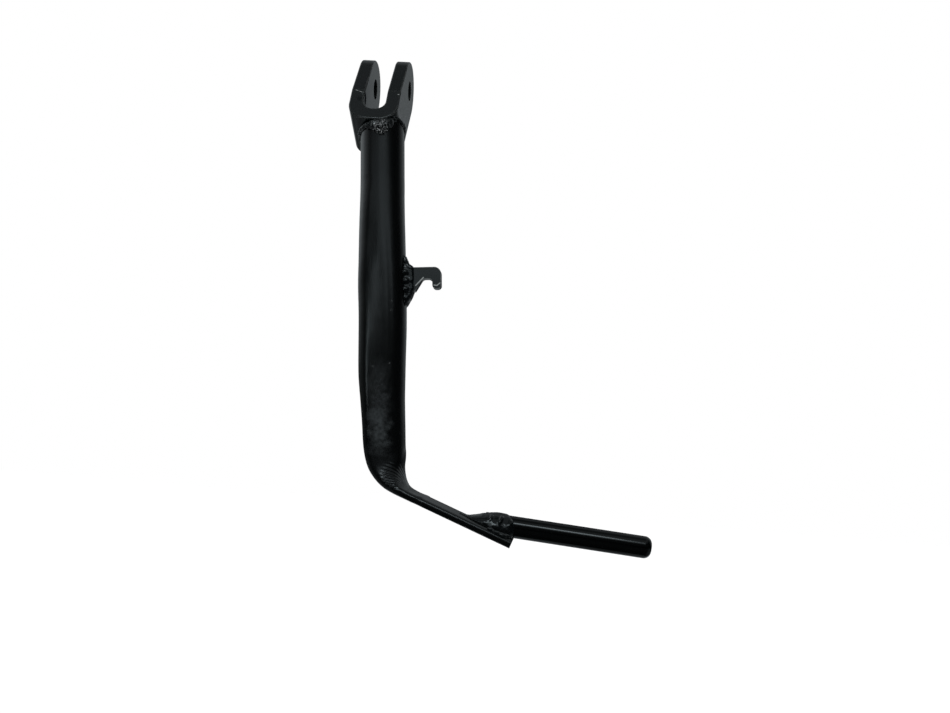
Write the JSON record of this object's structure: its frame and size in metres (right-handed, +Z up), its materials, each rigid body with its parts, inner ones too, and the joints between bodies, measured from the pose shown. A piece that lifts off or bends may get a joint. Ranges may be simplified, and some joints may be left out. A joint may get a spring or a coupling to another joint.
{
  "type": "motorbike side stand",
  "caption": "Welded steel side stand leg: forked pivot plate, bent tube pressed flat to a foot, a push bar for the boot and a small spring hook.",
  "frame": {"origin": "middle of the pivot bore, between the two ears of the fork", "axes": "+X along the pivot bolt towards the side the foot and the push bar point to, +Z up the leg from foot to pivot, +Y away from the side that carries the leg's front face"},
  "size_m": [0.1872, 0.0591, 0.2821],
  "materials": {
    "black_enamel": "gloss black enamel over steel",
    "weld_enamel": "gloss black enamel over a rippled weld bead"
  },
  "bodies": {
    "root": {"fork": "black_enamel", "leg_tube": "black_enamel", "spring_hook": "black_enamel", "toe_bar": "black_enamel", "fork_weld": "weld_enamel", "hook_weld": "weld_enamel", "toe_bar_weld": "weld_enamel"}
  },
  "joints": []
}
